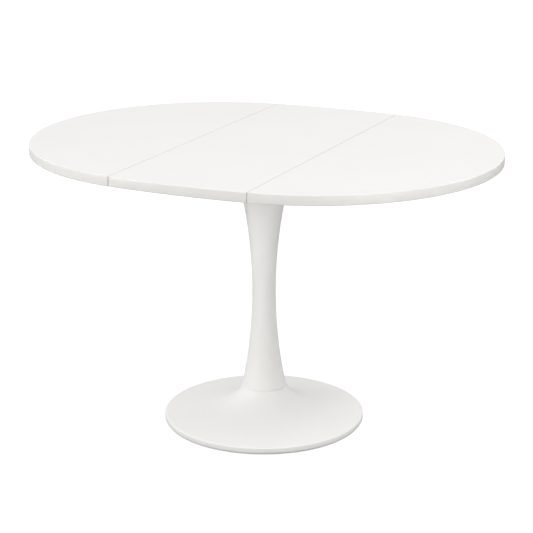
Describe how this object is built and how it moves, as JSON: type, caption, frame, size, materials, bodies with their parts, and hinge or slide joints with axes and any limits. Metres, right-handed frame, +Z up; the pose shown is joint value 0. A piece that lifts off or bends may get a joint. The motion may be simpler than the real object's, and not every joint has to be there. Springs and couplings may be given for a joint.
{
  "type": "drop-leaf pedestal table",
  "caption": "White oval drop-leaf table on a round trumpet foot and waisted column, with a fixed centre panel and fold-down leaves on clamp hinges.",
  "frame": {"origin": "on the floor under the column axis, the middle of the footprint", "axes": "+X along the length of the top, across the seams; +Y along the seams; +Z up"},
  "size_m": [1.2298, 0.9748, 0.75],
  "materials": {
    "white_lacquer": "satin white lacquer on board",
    "white_enamel": "satin white paint",
    "grey_powder_coat": "matt powder coat",
    "zinc_steel": "zinc plated",
    "raw_iron": "rough cast",
    "soft_rubber": "matt",
    "black_plastic": "fine grained",
    "bronze_bush": "turned"
  },
  "bodies": {
    "pedestal": {"base_foot": "white_enamel", "base_floor_ring": "soft_rubber", "base_ballast": "raw_iron", "column_shell": "white_enamel", "tie_rod": "zinc_steel", "tie_rod_nuts": "zinc_steel", "tie_rod_washers": "zinc_steel", "column_top_flange": "grey_powder_coat", "flange_bolts": "zinc_steel", "flange_nuts": "zinc_steel", "support_plate": "grey_powder_coat", "plate_bolts": "zinc_steel", "rail_rivet_nuts": "zinc_steel", "left_rail": "grey_powder_coat", "right_rail": "grey_powder_coat", "rail_end_caps": "black_plastic", "rail_screws": "zinc_steel", "centre_panel": "white_lacquer", "left_hinge_forks": "grey_powder_coat", "right_hinge_forks": "grey_powder_coat", "fork_screws": "zinc_steel", "hinge_bolts": "zinc_steel", "hinge_washers": "zinc_steel"},
    "left_leaf": {"left_leaf": "white_lacquer", "left_hinge_arms": "grey_powder_coat", "left_hinge_bushes": "bronze_bush", "left_arm_screws": "zinc_steel"},
    "right_leaf": {"right_leaf": "white_lacquer", "right_hinge_arms": "grey_powder_coat", "right_hinge_bushes": "bronze_bush", "right_arm_screws": "zinc_steel"},
    "front_left_lever": {"front_left_lever": "black_plastic", "front_left_lever_nut": "bronze_bush"},
    "front_right_lever": {"front_right_lever": "black_plastic", "front_right_lever_nut": "bronze_bush"},
    "back_left_lever": {"back_left_lever": "black_plastic", "back_left_lever_nut": "bronze_bush"},
    "back_right_lever": {"back_right_lever": "black_plastic", "back_right_lever_nut": "bronze_bush"}
  },
  "joints": [
    {"name": "left_leaf_fold", "type": "hinge", "parent": "pedestal", "child": "left_leaf", "pos_m": [-0.18, 0, 0.711], "axis": [0, -1, 0], "range_deg": [0, 90]},
    {"name": "right_leaf_fold", "type": "hinge", "parent": "pedestal", "child": "right_leaf", "pos_m": [0.18, 0, 0.711], "axis": [0, 1, 0], "range_deg": [0, 90]},
    {"name": "front_left_clamp", "type": "hinge", "parent": "pedestal", "child": "front_left_lever", "pos_m": [-0.18, -0.25, 0.711], "axis": [0, 1, 0], "range_deg": [0, 60]},
    {"name": "front_right_clamp", "type": "hinge", "parent": "pedestal", "child": "front_right_lever", "pos_m": [0.18, -0.25, 0.711], "axis": [0, -1, 0], "range_deg": [0, 60]},
    {"name": "back_left_clamp", "type": "hinge", "parent": "pedestal", "child": "back_left_lever", "pos_m": [-0.18, 0.25, 0.711], "axis": [0, 1, 0], "range_deg": [0, 60]},
    {"name": "back_right_clamp", "type": "hinge", "parent": "pedestal", "child": "back_right_lever", "pos_m": [0.18, 0.25, 0.711], "axis": [0, -1, 0], "range_deg": [0, 60]}
  ]
}
